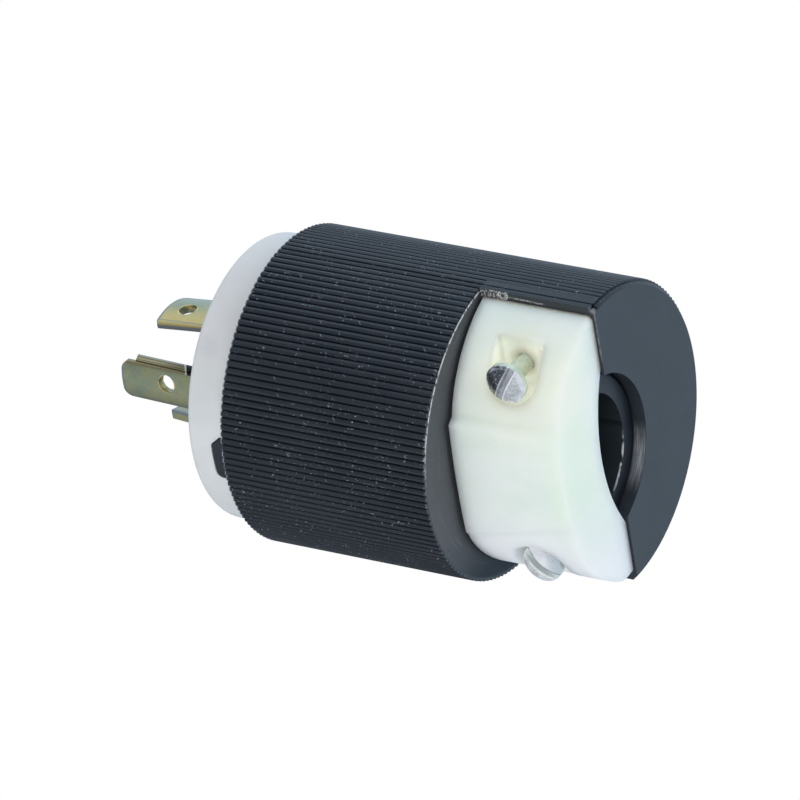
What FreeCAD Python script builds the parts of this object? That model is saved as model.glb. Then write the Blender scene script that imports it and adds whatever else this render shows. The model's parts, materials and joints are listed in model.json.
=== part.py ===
import FreeCAD, Part
import math
import os

# Three wire locking plug, standing on its cord end with the blades up.
# Z runs along the body towards the blades. The cord clamp faces -Y.
# Angles are counted from -Y towards +X, so 0 is the middle of the clamp.

V = FreeCAD.Vector
UP = V(0, 0, 1)

# Shell, millimetres
SHELL_R = 19.0
SHELL_LEN = 42.4
SHELL_WALL = 1.8
RIB_COUNT = 140
RIB_DEPTH = 0.35
RIB_CREST = ((0.15, 0.08), (0.5, 0.0), (0.85, 0.08), (1.0, RIB_DEPTH))
REAR_RIM_LEN = 0.6
REAR_RIM_CHAMFER = 0.3
SMOOTH_STRIP_DEG = 4.5

# Cut-away that carries the cord clamp
LEDGE_V = 0.95
WALL_Z = 15.1
WALL_THICK = 2.9

# Cord entry in the rear face
CORD_V = 4.46
CORD_R = 7.9
ENTRY_LIP = 2.6
STEP_DEPTH = 1.6
GROOVE_WIDTH = 0.5
GROOVE_LEN = 0.8

# Front body and its bore
BODY_CLEARANCE = 0.1
SEAT_WIDTH = 1.0
CHAMBER_LEN = 8.4
FACE_Z = 48.3
FACE_FILLET = 0.8

# Key that lines the front body up with the shell
KEY_HALF_DEG = 9.5
KEY_DEPTH = 1.4
KEY_LEN = 12.0
KEY_PROUD = 2.25
KEY_CHAMFER = 1.1
KEY_CLEARANCE = 0.1
KEY_ROOT = 0.4

# Blades: radii where they leave the front face, above it they lean inwards
LINE_R = 8.2
GROUND_R = 7.5
BLADE_THICK = 1.05
GROUND_LEAN_DEG = 3.1
LINE_LEAN_DEG = 5.0
GROUND_DEG = 6.0
LINE_A_DEG = 99.0
LINE_B_DEG = -94.0
GROUND_WIDTH_DEG = 37.0
LINE_WIDTH_DEG = 54.0
GROUND_TIP_Z = 63.85
LINE_TIP_Z = 60.4
GROUND_CORNER_R = 1.1
LINE_CORNER_R = 0.5
BLADE_HOLE_R = 1.1
BLADE_HOLE_Z = 57.4
GROUND_HOLE_SHIFT_DEG = 4.5
LINE_HOLE_SHIFT_DEG = 8.0
SLOT_CLEARANCE = 0.05
FLANGE_DEPTH = 1.9
FLANGE_TIP_SETBACK = 1.7
FLANGE_TIP_SLANT = 0.5

# Terminals on the rear of the front body
PAD_THICK = 1.6
PAD_WIDTH = 6.0
TERMINAL_SHANK_R = 1.2
TERMINAL_SHANK_LEN = 12.0
TERMINAL_HEAD_R = 2.6
TERMINAL_HEAD_H = 1.8
TERMINAL_GAP = 1.7
PLATE_SIZE = 5.8
PLATE_THICK = 1.2
SCREW_FIT = 0.05
HEAD_CHAMFER = 0.4

# Assembly screws through the front body into the shell
BOSS_MARGIN = 1.0
ASSEMBLY_DEG = 49.0
ASSEMBLY_SHANK_R = 1.25
ASSEMBLY_HEAD_R = 2.5
ASSEMBLY_HEAD_H = 1.8
ASSEMBLY_SINK = 2.3
BOSS_R = 2.7
INSERT_R = 1.9
INSERT_LEN = 5.0

# Cord clamp: flank, shoulder step and crown at the rear and at the wall.
# The step is clear on the +X side and fades out towards the wall on the fuller -X side.
CLAMP_INSET = 1.04
CLAMP_GAP = 0.6
CLAMP_REAR_SETBACK = 0.35
CLAMP_SIDE_H = 1.55
CLAMP_CORNER_R = 0.8
CLAMP_BULGE = 0.155
FULL_SIDE_BULGE = 0.185
REAR_SHOULDER = (6.9, 9.0)
REAR_CROWN = (5.5, 9.45)
REAR_CROWN_V = 9.65
FRONT_SHOULDER = (8.35, 11.65)
FRONT_CROWN = (7.7, 12.65)
FULL_SIDE_SHOULDER = (8.35, 12.55)
FULL_SIDE_CROWN = (7.95, 12.9)
FRONT_CROWN_V = 13.05
SADDLE_HALF_W = 10.8
SADDLE_RISE = 2.85
END_SLOPE = 0.28
END_START_V = 3.8

# Clamp screws and their nuts
CLAMP_SCREW_INSET = 5.04
CLAMP_SCREW_Z = 7.65
CLAMP_SHANK_R = 1.1
CLAMP_SCREW_LEN = 13.3
CLAMP_HOLE_CLEARANCE = 0.08
CLAMP_HEAD_R = 2.5
CLAMP_HEAD_RIM = 0.8
CLAMP_HEAD_DOME = 0.9
HEAD_V_LEFT = 7.8
HEAD_V_RIGHT = 9.1
CLAMP_SLOT_W = 0.8
CLAMP_SLOT_DEPTH = 0.9
SLOT_DEG_LEFT = 50.0
SLOT_DEG_RIGHT = -28.0
POCKET_R = 3.0
POCKET_FLOOR_V = 5.1
NUT_SIZE = 5.6
NUT_THICK = 2.4
NUT_SINK = 0.1
NUT_CLEARANCE = 0.1
SCREW_ROOM_CLEARANCE = 0.2
SCREW_END_ROOM = 0.4


def place(r, deg, z):
    """Point at radius r, angle deg from -Y towards +X, and height z."""
    a = math.radians(deg)
    return V(r * math.sin(a), -r * math.cos(a), z)


def face_of(points):
    """Flat face bounded by a closed run of straight edges."""
    return Part.Face(Part.makePolygon(points + [points[0]]))


def sector(r1, r2, deg1, deg2, z1, z2):
    """Part of a round wall between two radii, two angles and two heights."""
    corners = [place(r1, deg1, z1), place(r2, deg1, z1), place(r2, deg1, z2), place(r1, deg1, z2)]
    return face_of(corners).revolve(V(0, 0, 0), UP, deg2 - deg1)


def turned(shape, deg):
    """Copy of a shape modelled at angle 0, turned to deg."""
    out = shape.copy()
    out.rotate(V(0, 0, 0), UP, deg)
    return out


def cyl_z(r, z1, z2, x=0.0, y=0.0):
    return Part.makeCylinder(r, z2 - z1, V(x, y, z1), UP)


def cyl_v(r, v1, v2, u, z):
    """Cylinder along the clamp's outward direction, from depth v1 to v2."""
    return Part.makeCylinder(r, v2 - v1, V(u, -v1, z), V(0, -1, 0))


def box(x1, x2, y1, y2, z1, z2):
    return Part.makeBox(x2 - x1, y2 - y1, z2 - z1, V(x1, y1, z1))


def ribbed_run(deg1, deg2, z):
    """Outline points of whole ribs between two angles: a broad crest, then a narrow groove."""
    pitch = 360.0 / RIB_COUNT
    points = []
    for i in range(math.ceil(deg1 / pitch), math.floor(deg2 / pitch)):
        for along, depth in RIB_CREST:
            points.append(place(SHELL_R - depth, (i + along) * pitch, z))
    return points


# Sizes that follow from those above
FRONT_Z = SHELL_LEN
CHAMBER_Z = WALL_Z + WALL_THICK
SEAT_Z = CHAMBER_Z + CHAMBER_LEN
BORE_R = SHELL_R - SHELL_WALL
BODY_R = BORE_R - BODY_CLEARANCE
CHAMBER_R = BORE_R - SEAT_WIDTH
ENTRY_R = CORD_R + ENTRY_LIP
LEDGE_DEG = math.degrees(math.acos(LEDGE_V / SHELL_R))
TERMINAL_R = LINE_R + TERMINAL_GAP
PAD_REACH = TERMINAL_R + PLATE_SIZE / 2
ASSEMBLY_R = CHAMBER_R - BOSS_R - BOSS_MARGIN
BOSS_ANGLES = (ASSEMBLY_DEG, ASSEMBLY_DEG - 180)
CLAMP_HALF_W = SHELL_R - CLAMP_INSET
CLAMP_LEN = WALL_Z - CLAMP_GAP
CLAMP_SCREW_U = CLAMP_HALF_W - CLAMP_SCREW_INSET


# Shell


def ledge_corner(r, side):
    return V(side * math.sqrt(r * r - LEDGE_V * LEDGE_V), -LEDGE_V, 0)


def key_blank(low, grow):
    """Key seen from outside: one corner chamfered, the other rounded, pushed inwards."""
    half = BODY_R * math.sin(math.radians(KEY_HALF_DEG)) + grow
    top = FRONT_Z + KEY_PROUD + grow
    y = -BODY_R - 1
    outline = [V(-half, y, low), V(half, y, low), V(half, y, top - KEY_CHAMFER)]
    outline += [V(half - KEY_CHAMFER, y, top), V(-half, y, top)]
    blank = face_of(outline).extrude(V(0, KEY_DEPTH + 1 + grow, 0))
    corner = [e for e in blank.Edges if abs(e.CenterOfMass.x + half) < 1e-6
              and abs(e.CenterOfMass.z - top) < 1e-6]
    return blank.makeFillet(KEY_CHAMFER * 0.7, corner)


def make_shell():
    rear = [ledge_corner(SHELL_R, 1) + V(0, 0, REAR_RIM_LEN)]
    rear.append(place(SHELL_R, LEDGE_DEG + SMOOTH_STRIP_DEG / 2, REAR_RIM_LEN))
    rear += ribbed_run(LEDGE_DEG + SMOOTH_STRIP_DEG, 360 - LEDGE_DEG - SMOOTH_STRIP_DEG, REAR_RIM_LEN)
    rear.append(place(SHELL_R, 360 - LEDGE_DEG - SMOOTH_STRIP_DEG / 2, REAR_RIM_LEN))
    rear.append(ledge_corner(SHELL_R, -1) + V(0, 0, REAR_RIM_LEN))
    shell = face_of(rear).extrude(V(0, 0, WALL_Z - REAR_RIM_LEN))
    front = face_of(ribbed_run(0, 360, WALL_Z)).extrude(V(0, 0, FRONT_Z - WALL_Z))
    rim_r = SHELL_R - RIB_DEPTH
    rim = cyl_z(rim_r, 0, REAR_RIM_LEN)
    rim_edge = [e for e in rim.Edges if abs(e.CenterOfMass.z) < 1e-6 and e.Length > rim_r]
    rim = rim.makeChamfer(REAR_RIM_CHAMFER, rim_edge)
    rim = rim.cut(box(-SHELL_R, SHELL_R, -SHELL_R - 1, -LEDGE_V, -1, REAR_RIM_LEN + 1))
    shell = shell.fuse([front, rim])

    # Chamber, bore and cord way
    cuts = [cyl_z(CHAMBER_R, CHAMBER_Z, FRONT_Z + 1), cyl_z(BORE_R, SEAT_Z, FRONT_Z + 1)]
    cuts.append(cyl_z(CORD_R, -1, CHAMBER_Z + 1, 0, -CORD_V))
    cuts.append(cyl_z(ENTRY_R, -1, STEP_DEPTH, 0, -CORD_V))
    groove = cyl_z(ENTRY_R, 0, STEP_DEPTH + GROOVE_LEN, 0, -CORD_V)
    cuts.append(groove.cut(cyl_z(ENTRY_R - GROOVE_WIDTH, -1, WALL_Z, 0, -CORD_V)))
    shell = shell.cut(cuts)

    # Key inside the bore, proud of the shell's mouth and flush with the front body
    blank = key_blank(FRONT_Z - KEY_LEN, 0)
    key = blank.common(cyl_z(BODY_R, SEAT_Z, FACE_Z))
    root = blank.common(cyl_z(BORE_R + KEY_ROOT, SEAT_Z, FRONT_Z).cut(cyl_z(BODY_R - KEY_ROOT, 0, FACE_Z)))
    shell = shell.fuse([key, root])

    # Bosses for the assembly screws
    for deg in BOSS_ANGLES:
        p = place(ASSEMBLY_R, deg, 0)
        boss = cyl_z(BOSS_R, CHAMBER_Z - 0.5, SEAT_Z, p.x, p.y)
        boss = boss.cut(cyl_z(INSERT_R, SEAT_Z - INSERT_LEN, SEAT_Z + 1, p.x, p.y))
        boss = boss.cut(cyl_z(ASSEMBLY_SHANK_R + SCREW_FIT, CHAMBER_Z + 1, SEAT_Z, p.x, p.y))
        shell = shell.fuse(boss)

    # Nut pockets and room for the ends of the clamp screws
    half = NUT_SIZE / 2 + NUT_CLEARANCE
    floor_v = LEDGE_V - NUT_SINK - NUT_THICK
    for side in (-1, 1):
        u = side * CLAMP_SCREW_U
        pocket = box(u - half, u + half, -LEDGE_V - 1, -floor_v, CLAMP_SCREW_Z - half, CLAMP_SCREW_Z + half)
        room_r = CLAMP_SHANK_R + SCREW_ROOM_CLEARANCE
        room = cyl_v(room_r, POCKET_FLOOR_V - CLAMP_SCREW_LEN - SCREW_END_ROOM, LEDGE_V, u, CLAMP_SCREW_Z)
        shell = shell.cut([pocket, room])
    return shell.removeSplitter()


# Front body
def blade_places():
    """Angle, width and radius of each blade."""
    return {
        "ground": (GROUND_DEG, GROUND_WIDTH_DEG, GROUND_R),
        "line_a": (LINE_A_DEG, LINE_WIDTH_DEG, LINE_R),
        "line_b": (LINE_B_DEG, LINE_WIDTH_DEG, LINE_R),
    }


def make_front_body():
    body = cyl_z(BODY_R, SEAT_Z, FACE_Z)
    edge = [e for e in body.Edges if abs(e.CenterOfMass.z - FACE_Z) < 1e-6]
    body = body.makeFillet(FACE_FILLET, edge)
    cuts = [key_blank(SEAT_Z - 1, KEY_CLEARANCE)]
    for deg, width, radius in blade_places().values():
        inner = radius - BLADE_THICK
        room = math.degrees(SLOT_CLEARANCE / inner)
        low = deg - width / 2 - room
        high = deg + width / 2 + room
        near = inner - SLOT_CLEARANCE
        far = radius + SLOT_CLEARANCE
        cuts.append(sector(near, far, low, high, SEAT_Z - 1, FACE_Z + 1))
        p = place(TERMINAL_R, deg, 0)
        depth = TERMINAL_SHANK_LEN + 1
        cuts.append(cyl_z(TERMINAL_SHANK_R + SCREW_FIT, SEAT_Z - 1, SEAT_Z + depth, p.x, p.y))
    for deg in BOSS_ANGLES:
        p = place(ASSEMBLY_R, deg, 0)
        cuts.append(cyl_z(ASSEMBLY_SHANK_R + 3 * SCREW_FIT, SEAT_Z - 1, FACE_Z + 1, p.x, p.y))
        cuts.append(cyl_z(ASSEMBLY_HEAD_R + 0.2, FACE_Z - ASSEMBLY_SINK, FACE_Z + 1, p.x, p.y))
    return body.cut(cuts).removeSplitter()


# Blades, each modelled at angle 0 and turned to its place
def blade_section(radius, width, z, shift):
    """Curved strip at height z, moved inwards by shift."""
    inner = radius - BLADE_THICK
    half = width / 2
    out = Part.Arc(place(radius, -half, z), place(radius, 0, z), place(radius, half, z)).toShape()
    back = Part.Arc(place(inner, half, z), place(inner, 0, z), place(inner, -half, z)).toShape()
    sides = [Part.makeLine(place(radius, half, z), place(inner, half, z)),
             Part.makeLine(place(inner, -half, z), place(radius, -half, z))]
    return Part.Wire([out, sides[0], back, sides[1]]).translated(V(0, shift, 0))


def make_blade(radius, width, tip_z, corner_r, hole_shift, lean_deg):
    inner = radius - BLADE_THICK
    base_z = SEAT_Z - PAD_THICK
    low = Part.Face(blade_section(radius, width, base_z, 0)).extrude(V(0, 0, FACE_Z - base_z))
    lean = (tip_z - FACE_Z) * math.tan(math.radians(lean_deg))
    ends = [blade_section(radius, width, FACE_Z, 0), blade_section(radius, width, tip_z, lean)]
    free = Part.makeLoft(ends, True, True)
    half = radius * math.sin(math.radians(width / 2))
    trim = box(-half, half, -radius - 1, radius, FACE_Z, tip_z)
    corners = [e for e in trim.Edges if abs(abs(e.CenterOfMass.x) - half) < 1e-6
               and abs(e.CenterOfMass.z - tip_z) < 1e-6]
    free = free.common(trim.makeFillet(corner_r, corners))
    pad = box(-PAD_WIDTH / 2, PAD_WIDTH / 2, -PAD_REACH, -inner, SEAT_Z - PAD_THICK, SEAT_Z)
    hole = Part.makeCylinder(BLADE_HOLE_R, radius + 2, V(0, 0, BLADE_HOLE_Z), V(0, -1, 0))
    cuts = [turned(hole, hole_shift)]
    cuts.append(cyl_z(TERMINAL_SHANK_R + SCREW_FIT, SEAT_Z - PAD_THICK - 1, SEAT_Z + 1, 0, -TERMINAL_R))
    return low.fuse([free, pad]).cut(cuts).removeSplitter()


def make_ground_blade():
    blade = make_blade(GROUND_R, GROUND_WIDTH_DEG, GROUND_TIP_Z, GROUND_CORNER_R, GROUND_HOLE_SHIFT_DEG,
                       GROUND_LEAN_DEG)
    edge = place(GROUND_R, GROUND_WIDTH_DEG / 2, FACE_Z)
    root = edge + V(0, BLADE_THICK / 2, 0)
    inside = edge + V(0, FLANGE_DEPTH, 0)
    length = GROUND_TIP_Z - FLANGE_TIP_SETBACK - FACE_Z
    rise = V(0, length * math.tan(math.radians(GROUND_LEAN_DEG)), length)
    outline = [root, inside, inside + rise + V(0, 0, FLANGE_TIP_SLANT), root + rise]
    return blade.fuse(face_of(outline).extrude(V(-BLADE_THICK, 0, 0))).removeSplitter()


# Terminals
def slotted(head, centre, axis, width, depth, deg):
    """Cut a straight screwdriver slot across the outer end of a head."""
    slot = Part.makeBox(20, width, depth + 1, V(-10, -width / 2, -depth))
    slot.rotate(V(0, 0, 0), UP, deg)
    slot.Placement = FreeCAD.Placement(centre, FreeCAD.Rotation(UP, axis)).multiply(slot.Placement)
    return head.cut(slot)


def make_terminal_screw():
    top = SEAT_Z - PAD_THICK - PLATE_THICK
    head = cyl_z(TERMINAL_HEAD_R, top - TERMINAL_HEAD_H, top, 0, -TERMINAL_R)
    low_edge = [e for e in head.Edges if abs(e.CenterOfMass.z - top + TERMINAL_HEAD_H) < 1e-6]
    head = head.makeChamfer(HEAD_CHAMFER, low_edge)
    head = slotted(head, V(0, -TERMINAL_R, top - TERMINAL_HEAD_H), V(0, 0, -1), 0.8, 0.9, 30)
    return head.fuse(cyl_z(TERMINAL_SHANK_R, top, SEAT_Z + TERMINAL_SHANK_LEN, 0, -TERMINAL_R))


def make_plate():
    half = PLATE_SIZE / 2
    low = SEAT_Z - PAD_THICK - PLATE_THICK
    plate = box(-half, half, -TERMINAL_R - half, -TERMINAL_R + half, low, low + PLATE_THICK)
    middle = low + PLATE_THICK / 2
    plate = plate.makeFillet(0.6, [e for e in plate.Edges if abs(e.CenterOfMass.z - middle) < 1e-6])
    return plate.cut(cyl_z(TERMINAL_SHANK_R + 2 * SCREW_FIT, low - 1, low + 3, 0, -TERMINAL_R))


# Assembly screws and inserts
def make_assembly_screw():
    top = FACE_Z - ASSEMBLY_SINK + ASSEMBLY_HEAD_H
    head = cyl_z(ASSEMBLY_HEAD_R, FACE_Z - ASSEMBLY_SINK, top, 0, -ASSEMBLY_R)
    head = head.makeChamfer(HEAD_CHAMFER, [e for e in head.Edges if abs(e.CenterOfMass.z - top) < 1e-6])
    head = slotted(head, V(0, -ASSEMBLY_R, top), UP, 0.8, 0.9, 15)
    return head.fuse(cyl_z(ASSEMBLY_SHANK_R, CHAMBER_Z + 2, FACE_Z - ASSEMBLY_SINK, 0, -ASSEMBLY_R))


def make_insert():
    ring = cyl_z(INSERT_R, SEAT_Z - INSERT_LEN, SEAT_Z, 0, -ASSEMBLY_R)
    return ring.cut(cyl_z(ASSEMBLY_SHANK_R + SCREW_FIT, CHAMBER_Z, SEAT_Z + 1, 0, -ASSEMBLY_R))


# Cord clamp
def flank_middle(shoulder, bulge):
    """Middle point of the arched flank between the upright side and the shoulder."""
    u = (CLAMP_HALF_W + shoulder[0]) / 2 + bulge * (shoulder[1] - CLAMP_SIDE_H)
    v = (CLAMP_SIDE_H + shoulder[1]) / 2 + bulge * (CLAMP_HALF_W - shoulder[0])
    return u, v


def clamp_section(z, plain, full, crown_v):
    """Closed outline of the clamp; each side is its shoulder, its crown's end and its bulge."""
    w = CLAMP_HALF_W

    def p(side, point):
        return V(side * point[0], -point[1], z)

    edges = [Part.makeLine(p(-1, (w, LEDGE_V)), p(1, (w, LEDGE_V)))]
    edges.append(Part.makeLine(p(1, (w, LEDGE_V)), p(1, (w, CLAMP_SIDE_H))))
    shoulder, crown, bulge = plain
    far_shoulder, far_crown, far_bulge = full
    middle = flank_middle(shoulder, bulge)
    edges.append(Part.Arc(p(1, (w, CLAMP_SIDE_H)), p(1, middle), p(1, shoulder)).toShape())
    edges.append(Part.makeLine(p(1, shoulder), p(1, crown)))
    edges.append(Part.Arc(p(1, crown), p(1, (0, crown_v)), p(-1, far_crown)).toShape())
    edges.append(Part.makeLine(p(-1, far_crown), p(-1, far_shoulder)))
    middle = flank_middle(far_shoulder, far_bulge)
    edges.append(Part.Arc(p(-1, far_shoulder), p(-1, middle), p(-1, (w, CLAMP_SIDE_H))).toShape())
    edges.append(Part.makeLine(p(-1, (w, CLAMP_SIDE_H)), p(-1, (w, LEDGE_V))))
    return Part.Wire(edges)


def make_clamp():
    low = CLAMP_REAR_SETBACK
    rear = clamp_section(low, (REAR_SHOULDER, REAR_CROWN, CLAMP_BULGE),
                         (REAR_SHOULDER, REAR_CROWN, FULL_SIDE_BULGE), REAR_CROWN_V)
    front = clamp_section(CLAMP_LEN, (FRONT_SHOULDER, FRONT_CROWN, CLAMP_BULGE),
                          (FULL_SIDE_SHOULDER, FULL_SIDE_CROWN, FULL_SIDE_BULGE), FRONT_CROWN_V)
    clamp = Part.makeLoft([rear, front], True, True)

    # Rounded rear corners of the foot
    trim = box(-CLAMP_HALF_W, CLAMP_HALF_W, -SHELL_R, 0, low, CLAMP_LEN)
    corners = [e for e in trim.Edges if abs(abs(e.CenterOfMass.x) - CLAMP_HALF_W) < 1e-6
               and abs(e.CenterOfMass.z - low) < 1e-6]
    clamp = clamp.common(trim.makeFillet(CLAMP_CORNER_R, corners))

    # Leaning rear end with a soft edge above it
    reach = 2 * SHELL_R
    end = [V(-reach, -END_START_V, low), V(-reach, -END_START_V - reach, low + END_SLOPE * reach),
           V(-reach, -END_START_V - reach, 0), V(-reach, -END_START_V, 0)]
    clamp = clamp.cut(face_of(end).extrude(V(2 * reach, 0, 0)))

    # Saddle for the cord
    rise = SADDLE_RISE
    radius = (SADDLE_HALF_W ** 2 + rise ** 2) / (2 * rise)
    clamp = clamp.cut(cyl_z(radius, -1, CLAMP_LEN + 1, 0, radius - LEDGE_V - rise))

    # Screw pockets that open through the flanks
    for side in (-1, 1):
        u = side * CLAMP_SCREW_U
        out = sorted((u, side * SHELL_R))
        pocket = cyl_v(POCKET_R, POCKET_FLOOR_V, SHELL_R, u, CLAMP_SCREW_Z)
        low_z = CLAMP_SCREW_Z - POCKET_R
        high_z = CLAMP_SCREW_Z + POCKET_R
        way = box(out[0], out[1], -SHELL_R, -POCKET_FLOOR_V, low_z, high_z)
        hole = cyl_v(CLAMP_SHANK_R + CLAMP_HOLE_CLEARANCE, 0, SHELL_R, u, CLAMP_SCREW_Z)
        clamp = clamp.cut([pocket, way, hole])
    return clamp.removeSplitter()


# Clamp screws and nuts
def make_clamp_screw(side):
    u = side * CLAMP_SCREW_U
    head_v, slot_deg = (HEAD_V_RIGHT, SLOT_DEG_RIGHT) if side > 0 else (HEAD_V_LEFT, SLOT_DEG_LEFT)
    rim_top = head_v + CLAMP_HEAD_RIM
    shank = cyl_v(CLAMP_SHANK_R, head_v - CLAMP_SCREW_LEN, head_v, u, CLAMP_SCREW_Z)
    head = cyl_v(CLAMP_HEAD_R, head_v, rim_top, u, CLAMP_SCREW_Z)
    dome_r = (CLAMP_HEAD_R ** 2 + CLAMP_HEAD_DOME ** 2) / (2 * CLAMP_HEAD_DOME)
    ball = Part.makeSphere(dome_r, V(u, -(rim_top + CLAMP_HEAD_DOME - dome_r), CLAMP_SCREW_Z))
    dome = ball.common(cyl_v(CLAMP_HEAD_R, rim_top, rim_top + 2, u, CLAMP_SCREW_Z))
    head = head.fuse(dome)
    top = V(u, -(rim_top + CLAMP_HEAD_DOME), CLAMP_SCREW_Z)
    slot = box(u - 10, u + 10, top.y - 1, top.y + CLAMP_SLOT_DEPTH, CLAMP_SCREW_Z - CLAMP_SLOT_W / 2,
               CLAMP_SCREW_Z + CLAMP_SLOT_W / 2)
    slot.rotate(top, V(0, -1, 0), slot_deg)
    return head.cut(slot).fuse(shank).removeSplitter()


def make_nut(side):
    u = side * CLAMP_SCREW_U
    half = NUT_SIZE / 2
    top_v = LEDGE_V - NUT_SINK
    nut = box(u - half, u + half, -top_v, -top_v + NUT_THICK, CLAMP_SCREW_Z - half, CLAMP_SCREW_Z + half)
    return nut.cut(cyl_v(CLAMP_SHANK_R + SCREW_FIT, -SHELL_R, SHELL_R, u, CLAMP_SCREW_Z))


def main():
    parts = {"shell": make_shell(), "front_body": make_front_body(), "cord_clamp": make_clamp()}
    places = blade_places()
    parts["ground_blade"] = turned(make_ground_blade(), GROUND_DEG)
    for name, shift in (("line_a", -LINE_HOLE_SHIFT_DEG), ("line_b", LINE_HOLE_SHIFT_DEG)):
        blade = make_blade(LINE_R, LINE_WIDTH_DEG, LINE_TIP_Z, LINE_CORNER_R, shift, LINE_LEAN_DEG)
        parts["blade_" + name] = turned(blade, places[name][0])
    for name, (deg, width, radius) in places.items():
        parts["terminal_screw_" + name] = turned(make_terminal_screw(), deg)
        parts["terminal_plate_" + name] = turned(make_plate(), deg)
    for name, deg in zip("ab", BOSS_ANGLES):
        parts["assembly_screw_" + name] = turned(make_assembly_screw(), deg)
        parts["shell_insert_" + name] = turned(make_insert(), deg)
    for name, side in (("left", -1), ("right", 1)):
        parts["clamp_screw_" + name] = make_clamp_screw(side)
        parts["clamp_nut_" + name] = make_nut(side)
    os.makedirs("parts", exist_ok=True)
    for name, shape in parts.items():
        print(name, len(shape.Solids), shape.isValid(), round(shape.Volume, 1))
        shape.exportStep("parts/" + name + ".step")


main()
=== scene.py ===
# %% [markdown]
# # A locking power plug
# This lesson dresses the measured model of a plug: a black ribbed shell, a white front body with
# curved brass blades, and a milky clamp at the cord end. The model comes in as a fixed frame, in
# metres, so every finish and every changed surface is fitted to real sizes.
# %% Load the measured model
import json
import math
import bpy
import bmesh
import numpy as np
from mathutils import Matrix, Vector


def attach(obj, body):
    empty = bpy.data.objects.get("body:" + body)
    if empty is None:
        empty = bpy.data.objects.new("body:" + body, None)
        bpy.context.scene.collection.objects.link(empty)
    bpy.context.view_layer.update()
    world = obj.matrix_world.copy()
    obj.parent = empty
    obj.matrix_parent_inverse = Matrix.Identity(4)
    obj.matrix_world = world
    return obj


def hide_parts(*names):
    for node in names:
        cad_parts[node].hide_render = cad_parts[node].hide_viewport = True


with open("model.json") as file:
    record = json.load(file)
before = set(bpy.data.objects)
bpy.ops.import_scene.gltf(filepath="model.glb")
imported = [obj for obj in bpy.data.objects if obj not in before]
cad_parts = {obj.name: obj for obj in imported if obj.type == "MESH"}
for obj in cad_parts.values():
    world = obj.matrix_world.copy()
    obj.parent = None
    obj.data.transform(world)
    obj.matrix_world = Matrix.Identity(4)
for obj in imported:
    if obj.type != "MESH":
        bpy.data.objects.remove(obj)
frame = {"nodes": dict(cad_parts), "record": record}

scene = bpy.context.scene
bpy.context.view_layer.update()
MM = 0.001

# %% [markdown]
# ## The camera
# The view is a long lens from the cord end, a little below it, rolled so that the plug seems to
# lie on its side. Its place and turn came from fitting circles of the shell to their outlines.
# The three rows are the directions of image right, image down and looking forward. A fit leaves
# them not quite square to each other, and the singular values put that right.
# %% Camera
SHELL_R = 19.0
VIEW_ROWS = np.array([[-0.14975, 0.48920, -0.85922],
                      [-0.82678, -0.53854, -0.16253],
                      [-0.54223, 0.68605, 0.48510]])
VIEW_OFFSET = np.array([1.33304, 0.25354, 48.47184]) * SHELL_R * MM
FOCAL_PX, IMAGE_PX, SENSOR_MM = 8000.0, 800.0, 36.0
NEAR_CLIP, FAR_CLIP = 0.05, 20.0

left, _, right = np.linalg.svd(VIEW_ROWS)
rows = left @ right
place = -rows.T @ VIEW_OFFSET
turn = Matrix([[rows[0][i], -rows[1][i], -rows[2][i]] for i in range(3)]).to_4x4()
camera = bpy.data.objects.new("camera", bpy.data.cameras.new("camera"))
camera.data.lens = FOCAL_PX * SENSOR_MM / IMAGE_PX
camera.data.sensor_width = SENSOR_MM
camera.data.clip_start = NEAR_CLIP
camera.data.clip_end = FAR_CLIP
camera.matrix_world = Matrix.Translation(Vector(place)) @ turn
scene.collection.objects.link(camera)
scene.camera = camera
print("camera at", [round(float(c), 4) for c in place])

# %% [markdown]
# ## Writing shader maths as plain expressions
# A material is a graph of nodes. Wrapping a socket in a small class lets the graph be written as
# sums and products, which is far easier to read than a list of links. The same words then serve
# for the room's light and for every finish.
# %% A socket that does arithmetic
class Sock:
    """A value in a node graph. + - * ** and abs add Math nodes."""

    def __init__(self, graph, socket):
        self.graph = graph
        self.socket = socket

    def _math(self, operation, *values):
        return self.graph.node("ShaderNodeMath", {"operation": operation}, *values)

    def __add__(self, other):
        return self._math("ADD", self, other)

    def __mul__(self, other):
        return self._math("MULTIPLY", self, other)

    def __sub__(self, other):
        return self._math("SUBTRACT", self, other)

    def __rsub__(self, other):
        return self._math("SUBTRACT", other, self)

    def __pow__(self, other):
        return self._math("POWER", self, other)

    def __abs__(self):
        return self._math("ABSOLUTE", self)

    __radd__ = __add__
    __rmul__ = __mul__


print("reflected forms:", sorted(name for name in vars(Sock) if name.startswith("__r")))


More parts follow.
